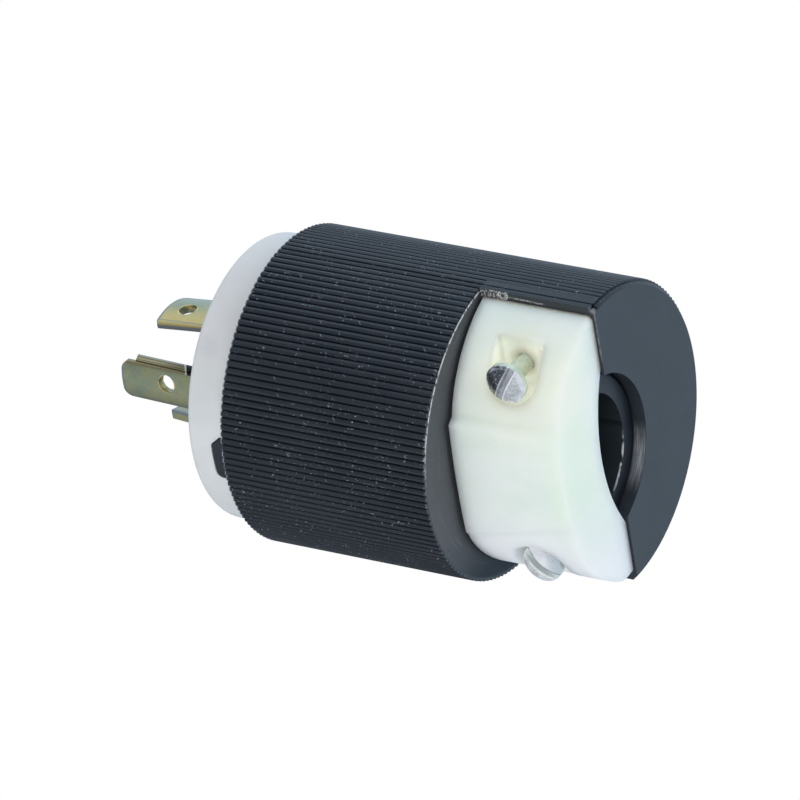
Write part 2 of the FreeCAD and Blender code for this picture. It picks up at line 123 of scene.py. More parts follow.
# %% A graph with a few words for common nodes
class Graph:
    """A node tree that is filled through one method."""

    def __init__(self, tree):
        self.tree = tree

    def fill(self, port, value):
        """Links a value to an input, or writes a number or a colour into it."""
        if isinstance(value, Sock):
            self.tree.links.new(value.socket, port)
        elif port.type == "RGBA" and len(value) == 3:
            port.default_value = (*value, 1.0)
        else:
            port.default_value = value

    def node(self, kind, settings, *values, out=0, **named):
        """Adds a node: its settings come first, then its inputs by place or by name."""
        n = self.tree.nodes.new(kind)
        for key, value in settings.items():
            setattr(n, key, value)
        for port, value in zip(n.inputs, values):
            self.fill(port, value)
        for key, value in named.items():
            self.fill(n.inputs[key.replace("_", " ")], value)
        return Sock(self, n.outputs[out])

    def step(self, value, low, high):
        """0 below low, 1 above high, smooth between."""
        return self.node("ShaderNodeMapRange", {"interpolation_type": "SMOOTHSTEP"}, value, low, high)

    def near(self, value, centre, core, fade):
        """1 where value is within core of centre, 0 beyond fade, smooth between."""
        return 1 - self.step(abs(value - centre), core, fade)

    def mix(self, factor, a, b):
        """Colour a where factor is 0, colour b where it is 1."""
        n = self.tree.nodes.new("ShaderNodeMix")
        n.data_type = "RGBA"
        for place_in_list, value in ((0, factor), (6, a), (7, b)):
            self.fill(n.inputs[place_in_list], value)
        return Sock(self, n.outputs[2])


print("a graph knows:", [name for name in vars(Graph) if not name.startswith("__")])


# %% [markdown]
# A finish is one material. It reads Object coordinates, which are metres in the model's own frame,
# so a mark can be put where it belongs by its place in millimetres and stays there in every view.
# %% A finish: a material with places, noise and bump
class Finish(Graph):
    """The graph of one material. Fixed numbers go straight onto the shader's own sockets."""

    def __init__(self, name, **fixed):
        self.material = bpy.data.materials.new(name)
        self.material.use_nodes = True
        super().__init__(self.material.node_tree)
        self.shader = self.tree.nodes["Principled BSDF"]
        for key, value in fixed.items():
            self.shader.inputs[key.replace("_", " ")].default_value = value
        self.spot = self.node("ShaderNodeTexCoord", {}, out="Object")

    def feed(self, **inputs):
        """Links what varies over the surface to the shader."""
        for key, value in inputs.items():
            self.fill(self.shader.inputs[key.replace("_", " ")], value)

    def axes(self):
        """The x, y and z of a point, in millimetres."""
        n = self.tree.nodes.new("ShaderNodeSeparateXYZ")
        self.tree.links.new(self.spot.socket, n.inputs[0])
        return [Sock(self, n.outputs[i]) * 1000.0 for i in range(3)]

    def arctan2(self, up, along):
        """The angle of (along, up), in radians."""
        return self.node("ShaderNodeMath", {"operation": "ARCTAN2"}, up, along)

    def vector(self, a, b, c=0.0):
        return self.node("ShaderNodeCombineXYZ", {}, a, b, c)

    def noise(self, per_mm, detail=4.0, rough=0.55, stretch=(1, 1, 1), at=None):
        """Cloudy noise with so many lumps per mm; at is another vector, in mm."""
        unit = 1.0 if at else 1000.0
        scale = tuple(unit * per_mm * s for s in stretch)
        spread = self.node("ShaderNodeMapping", {}, at or self.spot, Scale=scale)
        return self.node("ShaderNodeTexNoise", {}, Vector=spread, Scale=1.0, Detail=detail,
                         Roughness=rough)

    def cells(self, per_mm):
        """Distance to the nearest of many scattered points."""
        spread = self.node("ShaderNodeMapping", {}, self.spot, Scale=(1000.0 * per_mm,) * 3)
        return self.node("ShaderNodeTexVoronoi", {}, Vector=spread, Scale=1.0, out="Distance")

    def ball(self, x, y, z, centre):
        """Distance in mm from a point."""
        total = (x - centre[0]) ** 2 + (y - centre[1]) ** 2 + (z - centre[2]) ** 2
        return total ** 0.5

    def bump(self, height, distance_mm, strength, **more):
        return self.node("ShaderNodeBump", {}, Height=height, Distance=distance_mm * MM,
                         Strength=strength, **more)


MATERIALS = {}


def keep(wearer, material):
    """Files a finish under the node or the slot that wears it."""
    MATERIALS[wearer] = material
    print(wearer, "finish:", len(material.node_tree.nodes), "nodes")


print("a finish knows:", [name for name in vars(Finish) if not name.startswith("__")])


# %% [markdown]
# ## Room, lamps and floor
# The backdrop is plain white. Dark glossy ribs show what stands around them, so the room that they
# reflect is a soft set of panels: each is a direction in the picture, the range of the cosine over
# which it fades in, and a colour.
# %% Room panels
def image_dir(to_right, up, toward):
    """Direction in the frame from image right, image up and towards the viewer."""
    d = to_right * rows[0] - up * rows[1] - toward * rows[2]
    return Vector(d / np.linalg.norm(d))


WHITE = (1.0, 1.0, 1.0)
ROOM_BASE = (0.50, 0.54, 0.60)
ROOM_PANELS = (
    ("behind", (0, 0.1, -1), 0.30, 0.95, (0.22, 0.40, 0.62)),
    ("above", (0, 1, -0.15), 0.30, 0.85, (0.90, 1.05, 1.22)),
    ("right, behind", (0.83, -0.16, -0.53), 0.50, 0.90, (0.80, 0.98, 1.16)),
    ("below, left", (-0.75, -0.65, 0.1), 0.60, 0.95, (0.80, 0.84, 0.90)),
    ("below, behind", (-0.3, -0.7, -0.65), 0.70, 0.95, (0.25, 0.27, 0.32)),
    ("left, in front", (-0.8, 0.16, 0.55), 0.50, 0.95, (0.36, 0.39, 0.45)),
    ("in front", (0.1, 0, 1), 0.50, 0.95, (0.30, 0.32, 0.36)),
)
world = bpy.data.worlds.new("room")
scene.world = world
world.use_nodes = True
scene.view_settings.view_transform = "Standard"
room = Graph(world.node_tree)
look = room.node("ShaderNodeTexCoord", {}, out="Generated")
glow = ROOM_BASE
for label, direction, low, high, colour in ROOM_PANELS:
    facing = tuple(image_dir(*direction))
    along = room.node("ShaderNodeVectorMath", {"operation": "DOT_PRODUCT"}, look, facing, out="Value")
    glow = room.mix(room.step(along, low, high), glow, colour)
    print("panel", label, "lies towards", [round(c, 2) for c in facing])
backdrop = room.node("ShaderNodeLightPath", {}, out="Is Camera Ray")
room.fill(world.node_tree.nodes["Background"].inputs["Color"], room.mix(backdrop, glow, WHITE))

# %% [markdown]
# The white plastics want broad, even light. Three large round lamps give it. They are hidden from
# reflections, so that the dark plastic and the plated screws mirror only the room.
# %% Lamps
LAMP_TARGET = Vector((0, 0, 0.030))
LAMP_DISTANCE = 0.6
LAMPS = (("key", (-0.35, 1.0, 0.75), 0.8, 0.50, (1.0, 1.0, 0.98)),
         ("side", (0.9, 0.35, 0.8), 1.1, 0.40, WHITE),
         ("low", (-0.3, -0.8, 0.9), 2.1, 0.50, WHITE))
for name, direction, power, size, tint in LAMPS:
    lamp = bpy.data.lights.new(name, "AREA")
    lamp.shape = "DISK"
    lamp.size = size
    lamp.energy = power
    lamp.color = tint
    outward = image_dir(*direction)
    holder = bpy.data.objects.new(name, lamp)
    holder.location = LAMP_TARGET + outward * LAMP_DISTANCE
    holder.rotation_mode = "QUATERNION"
    holder.rotation_quaternion = outward.to_track_quat("Z", "Y")
    holder.visible_glossy = False
    scene.collection.objects.link(holder)
    print("lamp", name, "at", [round(c, 2) for c in holder.location])

# %% [markdown]
# The plug stands on its cord end, and the camera looks up at it from below the floor. So the floor
# is one-sided: from above it is pale and takes a shadow, from below it isn't there. The room's
# light is bluish, and a warm tone in the paper evens that out.
# %% Floor
FLOOR_HALF = 0.6
FLOOR_CORNERS = [(-FLOOR_HALF, -FLOOR_HALF, 0), (FLOOR_HALF, -FLOOR_HALF, 0),
                 (FLOOR_HALF, FLOOR_HALF, 0), (-FLOOR_HALF, FLOOR_HALF, 0)]
floor_mesh = bpy.data.meshes.new("floor")
floor_mesh.from_pydata(FLOOR_CORNERS, [], [(0, 1, 2, 3)])
floor = bpy.data.objects.new("floor", floor_mesh)
scene.collection.objects.link(floor)
floor.visible_diffuse = False
floor.visible_glossy = False
floor.visible_transmission = False
floor.visible_shadow = False

paper = Finish("floor_paper", Roughness=0.9, Emission_Color=(*WHITE, 1.0), Emission_Strength=0.26)
paper.feed(Base_Color=paper.mix(paper.noise(0.02), (0.93, 0.79, 0.66), (0.95, 0.81, 0.68)))
clear = paper.node("ShaderNodeBsdfTransparent", {})
back = paper.node("ShaderNodeNewGeometry", {}, out="Backfacing")
front = Sock(paper, paper.shader.outputs[0])
blend = paper.node("ShaderNodeMixShader", {}, back, front, clear)
paper.fill(paper.tree.nodes["Material Output"].inputs[0], blend)
floor_mesh.materials.append(paper.material)
print("floor:", 2 * FLOOR_HALF, "m wide")

# %% [markdown]
# ## The black shell
# Real shells like this are moulded in a dark glass-filled plastic. New, it is an even satin black;
# used, it carries pale scratches where it was gripped, bright worn edges and crumbs of plastic dust.
# Each kind of wear is a mask: a place (how near to an edge, in millimetres) times a noise that breaks
# it up, and so are the patches of painted shade and painted highlight. The wear masks mix the colour
# from black towards grey and roughen the gloss; painted shade makes it darker.
# %% Places on the shell
CORD_Y, CORD_R, ENTRY_R, ENTRY_DEPTH = -4.46, 7.9, 10.5, 1.6
WALL_Z, LEDGE_Y, FRONT_Z = 15.1, -0.95, 42.4
RIB_FOOT_R = 18.5
LAST_GROOVE_DEG = 89.5


class ShellPlaces:
    """The coordinates of a point on the shell, in mm, and masks for the shell's surfaces."""

    def __init__(self, g):
        x, y, z = g.axes()
        self.x, self.y, self.z = x, y, z
        self.r = (x * x + y * y) ** 0.5
        self.angle = g.arctan2(x, y * -1.0)
        self.outside = g.step(self.r, RIB_FOOT_R, RIB_FOOT_R + 0.12)
        self.wall = g.near(z, WALL_Z, 0.02, 0.08) * (1 - g.step(self.r, 18.4, 18.7))
        below_wall = 1 - g.step(z, WALL_Z - 0.20, WALL_Z - 0.05)
        self.ledge = g.near(y, LEDGE_Y, 0.03, 0.12) * below_wall * g.step(x, 12.0, 14.0)
        self.face = 1 - g.step(z, 0.02, 0.06)
        self.cord = (x * x + (y - CORD_Y) ** 2) ** 0.5
        self.entry = g.near(self.cord, ENTRY_R, 0.05, 0.15)
        self.entry = self.entry * (1 - g.step(z, ENTRY_DEPTH - 0.1, ENTRY_DEPTH + 0.1))
        self.entry = self.entry * g.step(z, 0.02, 0.1)
        within = 1 - g.step(self.cord, ENTRY_R - 0.4, ENTRY_R - 0.2)
        self.inside = within * (1 - g.step(z, WALL_Z - 0.5, WALL_Z - 0.1))
        groove_arc = math.radians(LAST_GROOVE_DEG) * SHELL_R
        self.groove = g.near(abs(self.angle) * SHELL_R, groove_arc, 0.09, 0.20)
        self.groove = self.groove * g.step(self.r, RIB_FOOT_R - 0.08, RIB_FOOT_R)


print("last groove, mm from the shell's middle plane:",
      round(SHELL_R * math.cos(math.radians(LAST_GROOVE_DEG)), 2))


# %% [markdown]
# The cut-away's wall is rubbed grey on the side that shows most; towards -x, where the clamp shades it,
# it is painted dark as shade. Brushed streaks follow its round outline, because their noise is read
# from radius and angle.
# %% Broad tones and painted shade of the shell
RUB_AND_SHADE_X = (-15.5, -4.0)


def rubbed_and_shaded_faces(g, at, base, broken):
    """Returns the colour with the tones of wall, ledge and rear face, painted shade at the wall's -x end,
    inside the cord channel and in the last groove, and the streaks on the wall."""
    # rubbed falls to 0.08 towards -x, where the clamp shades the wall: painted shade there, rubbed grey
    # elsewhere.
    rubbed = 0.08 + 0.92 * g.step(at.x, *RUB_AND_SHADE_X)
    base = g.mix(at.wall * (0.60 + 0.40 * broken) * rubbed, base, (0.080, 0.083, 0.089))
    base = g.mix(at.ledge * 0.75, base, (0.034, 0.037, 0.041))
    # Painted shade: the inside of the cord channel, past the entry, is darkened as the recess would be.
    base = g.mix(at.inside * 0.85, base, (0.002, 0.003, 0.006))
    base = g.mix(at.face * g.step(at.y, -6.0, 10.0) * 0.6, base, (0.007, 0.009, 0.012))
    # Painted shade along the last groove.
    base = g.mix(at.groove, base, (0.0005, 0.0008, 0.001))
    polar = g.vector(at.r, at.angle * 3.0)
    streak = g.noise(2.6, 3.0, 0.6, (1, 0.16, 1), at=polar)
    streaks = at.wall * g.step(streak, 0.55, 0.75) * rubbed * 0.5
    return g.mix(streaks, base, (0.14, 0.145, 0.15)), streak


print("the wall turns from dark to rubbed between x, mm:", RUB_AND_SHADE_X)

# %% Specks and scratches on the ribs
SPECK_CUT = (0.655, 0.69)


def worn_ribs(g, at, base):
    """Returns the colour with specks, slanting nicks and cross scratches, and two of the masks."""
    arc = at.angle * SHELL_R
    specks = g.step(g.noise(2.9, 2.0), *SPECK_CUT) * g.step(g.noise(0.28, 2.0), 0.42, 0.58)
    base = g.mix(specks * at.outside * 0.8, base, (0.24, 0.25, 0.26))
    slanting = g.vector(arc + at.z, arc - at.z)
    nick = g.step(g.noise(1.0, 1.0, 0.5, (0.45, 4.5, 1.0), at=slanting), 0.735, 0.775)
    base = g.mix(nick * at.outside * 0.8, base, (0.30, 0.31, 0.32))
    unrolled = g.vector(arc, at.z, at.r)
    cross = g.step(g.noise(1.0, 3.0, 0.6, (0.75, 7.0, 1), at=unrolled), 0.64, 0.70)
    cross = cross * g.step(g.noise(0.22, 2.0), 0.50, 0.62) * at.outside
    return g.mix(cross * 0.35, base, (0.11, 0.12, 0.13)), specks, cross


print("a speck shows where its noise passes", SPECK_CUT)

# %% Worn lines along the shell's edges
WORN_EDGE_R = RIB_FOOT_R + 0.04


def worn_lines(g, at, base):
    """The wall's outer edge is bright near the ledge and fades out below, with a dot at each rib,
    and the mouth of the shell has a broken line."""
    line = g.near(at.z, WALL_Z, 0.06, 0.16) * g.near(at.r, WORN_EDGE_R, 0.08, 0.17)
    line = line * g.step(at.y * -1.0, -LEDGE_Y, 0.10 - LEDGE_Y)
    ragged = g.step(g.noise(1.6, 3.0, 0.7), 0.36, 0.52)
    base = g.mix(line * ragged * g.step(at.x, 1.0, 10.0), base, (0.62, 0.63, 0.64))
    dots = g.near(at.z, WALL_Z, 0.06, 0.18) * g.step(at.r, 18.62, 18.75)
    dots = dots * g.near(at.x, 5.0, 2.0, 9.0) * g.step(g.noise(2.2, 3.0, 0.7), 0.50, 0.62)
    base = g.mix(dots * 0.8, base, (0.34, 0.35, 0.36))
    mouth = g.step(at.z, FRONT_Z - 0.20, FRONT_Z - 0.05) * g.step(at.r, 18.25, 18.5)
    mouth = mouth * g.step(g.noise(1.9, 3.0, 0.7), 0.40, 0.56)
    return g.mix(mouth * 0.8, base, (0.34, 0.36, 0.38))


print("worn edge at radius, mm:", WORN_EDGE_R)


# %% [markdown]
# The ledge beside the clamp carries the marks of its making and use: crumbs in the corner, a scuff
# of two loops with a dotted trail, and a bright rear edge. Its rear corner has a painted highlight.
# Each has its centre in mm.
# %% Marks on the ledge
CRUMB_CORNER = (18.5, LEDGE_Y, 14.0)
LOOP_CENTRE, LOOP_SQUEEZE = (18.56, LEDGE_Y, 12.0), 1.3
LOOP_RADII = (1.05, 0.74)
# Centre of the painted highlight on the ledge's rear corner.
LIT_REAR_CORNER = (18.8, LEDGE_Y, 0.1)


def ledge_marks(g, at, base, broken):
    """Returns the colour with the ledge's marks, mixed in one after the other."""
    x, y, z = at.x, at.y, at.z
    grit = g.step(g.noise(4.2, 3.0, 0.75), 0.50, 0.58)
    corner = 1 - g.step(g.ball(x, y, z, CRUMB_CORNER), 1.0, 2.2)
    base = g.mix(corner * grit * at.ledge, base, (0.42, 0.42, 0.41))
    squeezed = (LOOP_CENTRE[0] * LOOP_SQUEEZE, *LOOP_CENTRE[1:])
    sway = g.noise(1.3, 2.0, 0.6) * 0.8
    loop = g.ball(x * LOOP_SQUEEZE, y, z, squeezed) + sway
    loops = g.near(loop, LOOP_RADII[0], 0.05, 0.15) + g.near(loop, LOOP_RADII[1], 0.04, 0.12) * 0.8
    base = g.mix(loops * at.ledge * g.step(broken, 0.30, 0.46), base, (0.52, 0.51, 0.48))
    trail_x = 18.42 + 0.025 * (z - 10.8) + 0.25 * (g.noise(0.5, 2.0) - 0.5)
    trail = at.ledge * g.near(x, trail_x, 0.05, 0.14) * g.near(z, 9.0, 1.7, 2.8)
    trail = trail * g.step(g.noise(3.4, 3.0, 0.7), 0.42, 0.56)
    base = g.mix(trail * 0.9, base, (0.36, 0.36, 0.35))
    # Painted highlight on the ledge's rear corner.
    lit_rear_corner = 1 - g.step(g.ball(x, y, z, LIT_REAR_CORNER), 0.35, 0.75)
    base = g.mix(lit_rear_corner * 0.75, base, (0.20, 0.21, 0.23))
    rear_edge = g.near(z, 0.02, 0.06, 0.16) * g.near(y, LEDGE_Y, 0.06, 0.18) * g.step(x, 11.0, 13.0)
    return g.mix(rear_edge * g.step(broken, 0.35, 0.55) * 0.8, base, (0.16, 0.17, 0.19))


print("loops of the scuff, mm:", LOOP_RADII)


# %% [markdown]
# The round entry is stepped. Its wall has a painted highlight, streaked by fine hairs along the turn,
# and the inner lip has a broken line of painted highlight and wear.
# %% Marks in the cord entry
# The turns of the painted highlight on the entry wall and on the lip.
ENTRY_HIGHLIGHT_TURN, LIP_TURN = 0.52, 0.62


def entry_marks(g, at, base, broken):
    """Returns the colour with the wall's painted highlight and the lip's painted highlight and wear, and
    the wall highlight's mask.
    """
    side = g.arctan2(at.x * -1.0, at.y - CORD_Y)
    # Painted highlight on the entry wall.
    entry_highlight = at.entry * g.near(side, ENTRY_HIGHLIGHT_TURN, 0.06, 0.46)
    unrolled = g.vector(side * ENTRY_R, at.z)
    hair = g.noise(1.0, 4.0, 0.65, (0.25, 5.0, 1.0), at=unrolled)
    base = g.mix(entry_highlight * (0.30 + 0.70 * g.step(hair, 0.40, 0.70)), base, (0.30, 0.31, 0.33))
    # The lip: painted highlight and wear, bright in places.
    lip = g.near(at.cord, CORD_R + 0.05, 0.05, 0.20) * g.near(at.z, ENTRY_DEPTH, 0.06, 0.22)
    lip = lip * g.near(side, LIP_TURN, 0.10, 0.60) * g.step(broken, 0.42, 0.58)
    return g.mix(lip, base, (0.55, 0.56, 0.58)), entry_highlight


print("painted_highlight patch, degrees round the entry:", round(math.degrees(ENTRY_HIGHLIGHT_TURN), 1))


# %% [markdown]
# The parts come together in one material. A metal with a black colour mirrors nothing, which is how
# a deep groove or a shaded corner looks, so the last groove and the wall's end in the clamp's shade
# turn metallic: painted shade.
# %% Shell finish
def finish_shell():
    """The black plastic: broad tones and painted shade first, then the wear and painted highlights from
    the ribs to the entry.
    """
    g = Finish("shell_black", Specular_Tint=(0.80, 0.92, 1.0, 1.0))
    at = ShellPlaces(g)
    cloud = g.noise(0.13, 5.0, 0.6)
    broken = g.noise(1.3, 4.0, 0.65)
    base = g.mix(g.step(cloud, 0.35, 0.65), (0.0095, 0.0120, 0.0165), (0.0140, 0.0165, 0.0215))
    base, streak = rubbed_and_shaded_faces(g, at, base, broken)
    base, specks, cross = worn_ribs(g, at, base)
    base = worn_lines(g, at, base)
    base = ledge_marks(g, at, base, broken)
    base, entry_highlight = entry_marks(g, at, base, broken)
    # Painted shade: black metal in the last groove and at the wall's -x end.
    painted_shade_metal = at.groove * 0.9 + at.wall * (1 - g.step(at.x, -16.0, -10.0)) * 0.6
    rough = 0.36 + 0.16 * cloud + 0.12 * at.wall + 0.14 * at.ledge + 0.2 * specks - 0.06 * entry_highlight
    height = g.noise(3.0, 3.0) * 0.5 + g.noise(9.0, 2.0) * 0.3 + cross * 0.8
    height = height + at.wall * streak - at.groove * 6.0
    g.feed(Base_Color=base, Metallic=painted_shade_metal, Roughness=rough, Normal=g.bump(height, 0.012, 0.6))
    return g.material


keep("shell", finish_shell())


# %% [markdown]
# ## The white front body
# A cool white nylon, slightly waxy: light goes a little way in, which the shader calls subsurface.
# It has faint grey smudges from handling.
# %% Front body finish
SMUDGE = (12.2, -12.0, 46.4)


def finish_front_body():
    """The white nylon: two close tones, a warmer side painted to offset the bluish light from above, one
    smudge and a little dust.
    """
    g = Finish("nylon_white", Subsurface_Weight=0.25, Subsurface_Radius=(1.0, 0.95, 0.9),
               Subsurface_Scale=0.0012)
    x, y, z = g.axes()
    cloud = g.noise(0.16, 4.0)
    base = g.mix(g.step(cloud, 0.35, 0.65), (0.625, 0.642, 0.632), (0.675, 0.692, 0.682))
    # Painted tint: the upper side, +x, is warmed and a little darkened against the bluish light from
    # above.
    base = g.mix(g.step(x, 4.0, 17.0) * 0.7, base, (0.63, 0.605, 0.58))
    smudge = 1 - g.step(g.ball(x, y, z, SMUDGE), 0.3, 2.4)
    base = g.mix(smudge * g.noise(0.8, 3.0) * 0.5, base, (0.48, 0.47, 0.51))
    dust = g.step(g.noise(2.2, 2.0), 0.70, 0.76) * g.step(cloud, 0.5, 0.7)
    base = g.mix(dust * 0.4, base, (0.35, 0.36, 0.38))
    g.feed(Base_Color=base, Roughness=0.40 + 0.15 * g.noise(0.5),
           Normal=g.bump(g.noise(1.1, 5.0), 0.02, 0.35))
    return g.material


keep("front_body", finish_front_body())


# %% [markdown]
# ## The milky clamp
# The clamp is natural nylon: milky, a little glassy and never one white. It is creamier near the
# screw, and turns greener across the middle and cooler towards the far end.
# %% Broad tones of the clamp
SCREW_X, SCREW_Z, POCKET_R, POCKET_FLOOR_V = 12.92, 7.65, 3.0, 5.1


def milky_tones(g, x, y, z, cloud):
    """The clamp's colour before its stains."""
    base = g.mix(g.step(cloud, 0.35, 0.68), (0.70, 0.77, 0.70), (0.76, 0.80, 0.75))
    cream = 1 - g.step(g.ball(x, y, z, (12.0, -8.0, 7.0)), 2.0, 11.0)
    base = g.mix(cream * 0.75, base, (0.77, 0.78, 0.66))
    green = g.near(z, 2.2, 0.8, 2.6) * g.near(x, 1.0, 4.0, 9.0)
    base = g.mix(green * 0.6, base, (0.70, 0.79, 0.68))
    cool = g.step(x * -1.0 + 0.35 * z, 4.0, 15.0)
    base = g.mix(cool * 0.8, base, (0.78, 0.79, 0.80))
    edge = (1 - g.step(y * -1.0, 1.15, 1.7)) * g.step(x, 2.0, 8.0)
    return g.mix(edge * 0.7, base, (0.82, 0.76, 0.54))


print("screw pockets, mm wide:", 2 * POCKET_R)


# %% [markdown]
# Rust stains the pocket around the screw's shank and along its rear wall, with painted shade mixed into
# the same marks, and a pale yellow breath round its mouth. A pocket in real nylon is nearly as bright as
# the outside, because light comes through its walls. A faint glow in the pocket stands for that light.
# %% Stains, painted shade and light in the screw's pocket
def pocket_stains(g, x, v, z, base):
    """Returns the colour with stains and painted shade, and the glow's mask. v is the distance out from
    the shell's middle plane, which -y points along. The pocket is a slot: its axis starts at
    the screw and runs out through the flank, and a point's distance from it tells the inside."""
    away = ((x - SCREW_X) ** 2 + (z - SCREW_Z) ** 2) ** 0.5
    halo = (1 - g.step(away, 2.6, 4.4)) * g.step(x, 8.0, 9.5)
    base = g.mix(halo * 0.38, base, (0.84, 0.80, 0.57))
    rust = g.noise(0.9, 4.0, 0.65)
    # Rust stain and painted shade on the pocket's floor around the shank.
    deep = (1 - g.step(away, 1.2, 2.4)) * g.near(v, POCKET_FLOOR_V, 0.2, 1.2)
    stain_and_shade = deep * (0.25 + 0.75 * g.step(rust, 0.35, 0.65)) * 0.6
    base = g.mix(stain_and_shade, base, (0.72, 0.55, 0.27))
    within = 1 - g.step(away, POCKET_R + 0.02, POCKET_R + 0.12)
    # Rust stain and painted shade along the pocket's rear wall.
    rear_wall = within * g.step(SCREW_Z - z, 1.6, 2.8) * g.near(v, 6.6, 1.0, 2.6)
    stain_and_shade = rear_wall * (0.35 + 0.65 * g.step(rust, 0.35, 0.6)) * 0.85
    base = g.mix(stain_and_shade, base, (0.72, 0.52, 0.22))

    sunk = 1 - g.step(v + 0.64 * (abs(x) - SCREW_X), 7.2, 8.7)
    beside = g.node("ShaderNodeMath", {"operation": "MINIMUM"}, abs(x) - SCREW_X, 0.0)
    from_axis = (beside ** 2 + (z - SCREW_Z) ** 2) ** 0.5
    slot = 1 - g.step(from_axis, POCKET_R + 0.02, POCKET_R + 0.14)
    slot = slot * (1 - 0.85 * g.step(abs(x), 14.3, 16.4))
    glowing = sunk * slot * g.step(v, 4.4, 5.0) * (1 - 0.35 * deep) * (1 - 0.75 * rear_wall)
    return base, glowing * g.step(x, 0.0, 1.0)


print("inner side of the right pocket, x in mm:", round(SCREW_X - POCKET_R, 2))


# %% [markdown]
# Deep subsurface light and a rounded normal give the soft edges. The Bevel node only rounds the
# shading, so it suits a wide, faint softness that real bevels couldn't take.
# %% Clamp finish
EDGE_BLUR = 0.0018


def finish_clamp():
    """The milky nylon: tones, stains with painted shade, and glow, under a softened normal."""
    g = Finish("clamp_milk", Subsurface_Weight=0.75, Subsurface_Radius=(1.0, 0.95, 0.8),
               Subsurface_Scale=0.0034, Specular_IOR_Level=0.45, Emission_Strength=1.0)
    x, y, z = g.axes()
    v = y * -1.0
    cloud = g.noise(0.14, 3.0)
    base = milky_tones(g, x, y, z, cloud)
    base, glowing = pocket_stains(g, x, v, z, base)
    fleck = g.step(g.noise(1.7, 2.0), 0.70, 0.75) * g.step(cloud, 0.45, 0.6)
    base = g.mix(fleck * 0.25, base, (0.95, 0.96, 0.96))
    height = g.noise(0.35, 3.0) + 0.15 * g.noise(2.4, 3.0)
    soft = g.node("ShaderNodeBevel", {"samples": 6}, EDGE_BLUR)
    g.feed(Base_Color=base, Roughness=0.34 + 0.18 * g.noise(0.4, 3.0),
           Normal=g.bump(height, 0.06, 0.35, Normal=soft),
           Emission_Color=g.mix(glowing, (0.0, 0.0, 0.0), (0.27, 0.28, 0.262)))
    return g.material


keep("cord_clamp", finish_clamp())


# %% [markdown]
# ## Brass blades
# The blades are stamped from brass sheet that has tarnished to a greenish gold. Their sheared
# borders stay grey, and the holes' rims are rubbed bright. Each blade's borders lie at known angles
# and heights, so the finish takes the blade's own numbers. The blades lean inwards, and a shift
# that grows with the height undoes that lean.
# %% The ground blade's flange root, with painted shadow and highlight
FACE_Z, HOLE_Z = 48.3, 57.4
# Where the painted shadow of the gap at the flange's root ends.
GAP_SHADOW_TOP, GAP_SHADOW_SLANT, GAP_SHADOW_OFFSET = 54.18, 0.68, 5.13
# Painted shadow lines across the flange.
FLANGE_SHADOW_LINES = ((5.75, 0.05, 0.14), (6.35, 0.04, 0.12), (6.85, 0.03, 0.10))


def shaded_flange_root(g, base, z, side, root):
    """Darker gold with painted shadow lines on the flange, a grey inner border, and black painted shadow
    of the gap at the root below a painted highlight line. The shadow's top slants: it is higher where
    side, the distance out, is less."""
    base = g.mix(root * 0.85, base, (0.36, 0.29, 0.14))
    first, second, third = (g.near(side, *line) for line in FLANGE_SHADOW_LINES)
    base = g.mix(root * (first + second + third) * 0.8, base, (0.06, 0.055, 0.05))
    base = g.mix(root * (1 - g.step(side, 5.35, 5.50)), base, (0.30, 0.34, 0.38))
    level = z + GAP_SHADOW_SLANT * side - GAP_SHADOW_OFFSET
    # Painted highlight along the top of the gap's shadow.
    base = g.mix(root * g.near(level, GAP_SHADOW_TOP + 0.12, 0.06, 0.16), base, (0.80, 0.82, 0.84))
    # Painted shadow of the gap at the flange's root.
    return g.mix(root * (1 - g.step(level, GAP_SHADOW_TOP - 0.10, GAP_SHADOW_TOP)), base, (0.012, 0.013, 0.016))


# The top of the painted gap shadow.
print("sleeve's top, mm above the face, about:", round(GAP_SHADOW_TOP - FACE_Z, 1))


